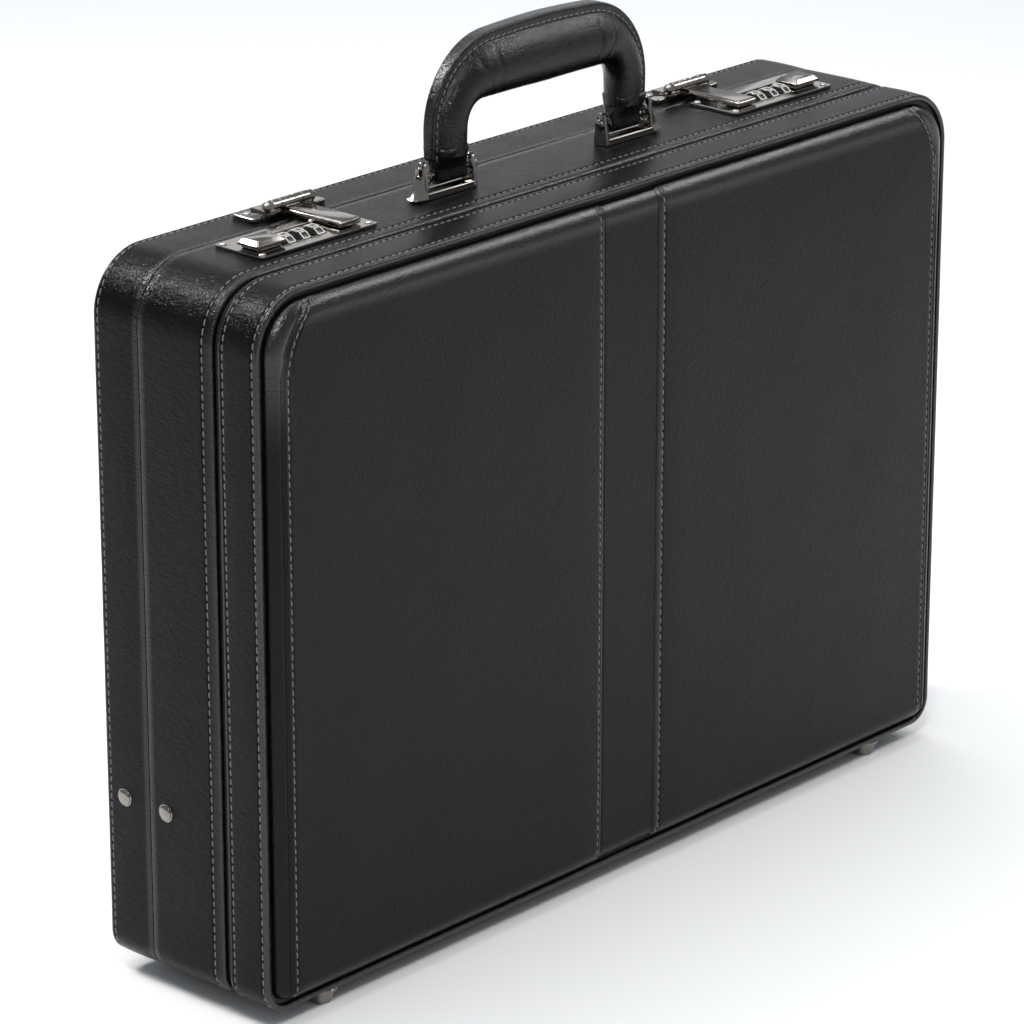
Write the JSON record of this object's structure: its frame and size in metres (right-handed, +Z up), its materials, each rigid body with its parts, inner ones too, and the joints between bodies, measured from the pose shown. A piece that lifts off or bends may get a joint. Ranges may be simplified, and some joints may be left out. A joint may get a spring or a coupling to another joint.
{
  "type": "leather briefcase",
  "caption": "Framed attaché case with padded leather sides, an expanding front, a hinged lid on stays, a folding handle and combination locks.",
  "frame": {"origin": "on the floor under the middle of the case as it stands shut on its feet", "axes": "+X across the width, +Z up, the padded front faces -Y and the lid opens towards +Y"},
  "size_m": [0.4608, 0.1068, 0.399],
  "materials": {
    "leather": "satin black leather with a fine grain",
    "padded_leather": "soft padded black leather with a fine grain",
    "gusset": "thin folded black leather",
    "board": "thin wooden frame board",
    "lining": "dark woven lining",
    "hardware": "dark warm nickel, polished",
    "bright_metal": "nickel plated steel",
    "dark_metal": "blackened steel",
    "dial": "gloss black with pale numbers"
  },
  "bodies": {
    "base": {"base_frame_core": "board", "base_leather_band": "leather", "base_lining": "lining", "expansion_gusset": "gusset", "hinge_base_leaf": "dark_metal", "hinge_pin": "dark_metal", "lock_plate_left": "hardware", "lock_plate_right": "hardware", "lock_case_left": "dark_metal", "lock_case_right": "dark_metal", "dial_axle_left": "bright_metal", "dial_axle_right": "bright_metal", "handle_bracket_left": "hardware", "handle_bracket_right": "hardware", "handle_pivot_pin_left": "hardware", "handle_pivot_pin_right": "hardware", "base_stay_rivet_left": "hardware", "base_stay_rivet_right": "hardware"},
    "front_shell": {"front_core": "board", "front_leather_band": "leather", "front_lining": "lining", "front_pad": "padded_leather", "foot_front_left": "hardware", "foot_front_right": "hardware", "expander_slide_left": "bright_metal", "expander_slide_right": "bright_metal"},
    "lid": {"lid_core": "board", "lid_leather_band": "leather", "lid_lining": "lining", "lid_pad": "padded_leather", "lid_organizer": "lining", "hinge_lid_leaf": "dark_metal", "foot_rear_left": "hardware", "foot_rear_right": "hardware", "lid_stay_rivet_left": "hardware", "lid_stay_rivet_right": "hardware", "hasp_bracket_left": "hardware", "hasp_bracket_right": "hardware", "hasp_pin_left": "hardware", "hasp_pin_right": "hardware"},
    "stay_lower_left": {"stay_lower_left": "bright_metal"},
    "stay_lower_right": {"stay_lower_right": "bright_metal"},
    "stay_upper_left": {"stay_upper_left": "bright_metal"},
    "stay_upper_right": {"stay_upper_right": "bright_metal"},
    "hasp_left": {"hasp_left": "hardware"},
    "hasp_right": {"hasp_right": "hardware"},
    "lock_button_left": {"lock_button_left": "hardware"},
    "lock_button_right": {"lock_button_right": "hardware"},
    "dial_left_1": {"dial_left_1": "dial"},
    "dial_left_2": {"dial_left_2": "dial"},
    "dial_left_3": {"dial_left_3": "dial"},
    "dial_right_1": {"dial_right_1": "dial"},
    "dial_right_2": {"dial_right_2": "dial"},
    "dial_right_3": {"dial_right_3": "dial"},
    "handle": {"handle_grip": "leather", "handle_end_left": "leather", "handle_end_right": "leather"}
  },
  "joints": [
    {"name": "lid_hinge", "type": "hinge", "parent": "base", "child": "lid", "pos_m": [0, 0.022, 0.0059], "axis": [-1, 0, 0], "range_deg": [0, 95]},
    {"name": "front_expansion", "type": "slide", "parent": "base", "child": "front_shell", "axis": [0, -1, 0], "range_m": [0, 0.038], "deforming": ["expansion_gusset"]},
    {"name": "stay_lower_left_pivot", "type": "hinge", "parent": "base", "child": "stay_lower_left", "pos_m": [-0.216, 0.0114, 0.0863], "axis": [-1, 0, 0], "range_deg": [0, 95]},
    {"name": "stay_lower_right_pivot", "type": "hinge", "parent": "base", "child": "stay_lower_right", "pos_m": [0.216, 0.0114, 0.0863], "axis": [-1, 0, 0], "range_deg": [0, 95]},
    {"name": "stay_upper_left_pivot", "type": "hinge", "parent": "lid", "child": "stay_upper_left", "pos_m": [-0.212, 0.0369, 0.0863], "axis": [-1, 0, 0], "range_deg": [-95, 0]},
    {"name": "stay_upper_right_pivot", "type": "hinge", "parent": "lid", "child": "stay_upper_right", "pos_m": [0.212, 0.0369, 0.0863], "axis": [-1, 0, 0], "range_deg": [-95, 0]},
    {"name": "hasp_left_hinge", "type": "hinge", "parent": "lid", "child": "hasp_left", "pos_m": [-0.131, 0.029, 0.3345], "axis": [-1, 0, 0], "range_deg": [0, 110]},
    {"name": "hasp_right_hinge", "type": "hinge", "parent": "lid", "child": "hasp_right", "pos_m": [0.131, 0.029, 0.3345], "axis": [-1, 0, 0], "range_deg": [0, 110]},
    {"name": "lock_button_left_slide", "type": "slide", "parent": "base", "child": "lock_button_left", "axis": [-1, 0, 0], "range_m": [0, 0.004], "stiffness_N_per_m": 400, "springref_m": -0.002},
    {"name": "lock_button_right_slide", "type": "slide", "parent": "base", "child": "lock_button_right", "axis": [1, 0, 0], "range_m": [0, 0.004], "stiffness_N_per_m": 400, "springref_m": -0.002},
    {"name": "dial_left_1_spin", "type": "hinge", "parent": "base", "child": "dial_left_1", "pos_m": [-0.146, 0, 0.326], "axis": [1, 0, 0], "continuous": true},
    {"name": "dial_left_2_spin", "type": "hinge", "parent": "base", "child": "dial_left_2", "pos_m": [-0.1547, 0, 0.326], "axis": [1, 0, 0], "continuous": true},
    {"name": "dial_left_3_spin", "type": "hinge", "parent": "base", "child": "dial_left_3", "pos_m": [-0.1634, 0, 0.326], "axis": [1, 0, 0], "continuous": true},
    {"name": "dial_right_1_spin", "type": "hinge", "parent": "base", "child": "dial_right_1", "pos_m": [0.146, 0, 0.326], "axis": [1, 0, 0], "continuous": true},
    {"name": "dial_right_2_spin", "type": "hinge", "parent": "base", "child": "dial_right_2", "pos_m": [0.1547, 0, 0.326], "axis": [1, 0, 0], "continuous": true},
    {"name": "dial_right_3_spin", "type": "hinge", "parent": "base", "child": "dial_right_3", "pos_m": [0.1634, 0, 0.326], "axis": [1, 0, 0], "continuous": true},
    {"name": "handle_hinge", "type": "hinge", "parent": "base", "child": "handle", "pos_m": [0, 0.001, 0.339], "axis": [1, 0, 0], "range_deg": [-75, 75]}
  ],
  "couplings": [
    {"joint": "stay_lower_left_pivot", "follows": "lid_hinge", "ratio": 1},
    {"joint": "stay_lower_right_pivot", "follows": "lid_hinge", "ratio": 1},
    {"joint": "stay_upper_left_pivot", "follows": "lid_hinge", "ratio": -1},
    {"joint": "stay_upper_right_pivot", "follows": "lid_hinge", "ratio": -1}
  ]
}
